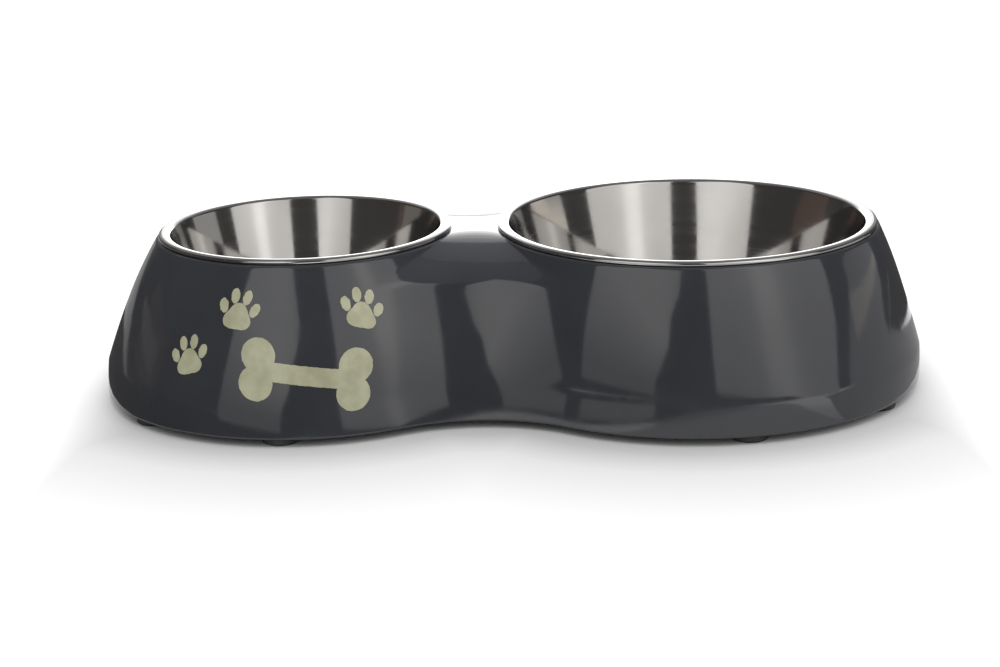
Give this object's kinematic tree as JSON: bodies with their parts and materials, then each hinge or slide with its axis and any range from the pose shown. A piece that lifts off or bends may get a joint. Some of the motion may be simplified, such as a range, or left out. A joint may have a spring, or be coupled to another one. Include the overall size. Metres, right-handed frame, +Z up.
{
  "type": "double pet bowl",
  "caption": "Low hollow moulded stand with a waisted plan that holds a small and a large drop-in steel bowl by their rolled rims, on rubber feet.",
  "frame": {"origin": "on the floor, under the centre of the whole object's outline", "axes": "+Z up, +X from the small bowl to the large bowl along the stand's length, -Y is the front"},
  "size_m": [0.3439, 0.1916, 0.0685],
  "materials": {
    "shell": "glossy slate grey melamine",
    "steel": "polished stainless steel",
    "rubber": "matt black rubber"
  },
  "bodies": {
    "stand": {"stand": "shell", "foot_small_front": "rubber", "foot_small_outer_front": "rubber", "foot_small_outer_back": "rubber", "foot_small_back": "rubber", "foot_large_front": "rubber", "foot_large_outer_front": "rubber", "foot_large_outer_back": "rubber", "foot_large_back": "rubber"},
    "small_bowl": {"small_bowl": "steel"},
    "large_bowl": {"large_bowl": "steel"}
  },
  "joints": [
    {"name": "small_bowl_lift", "type": "slide", "parent": "stand", "child": "small_bowl", "axis": [0, 0, 1], "range_m": [0, 0.06]},
    {"name": "large_bowl_lift", "type": "slide", "parent": "stand", "child": "large_bowl", "axis": [0, 0, 1], "range_m": [0, 0.07]}
  ]
}
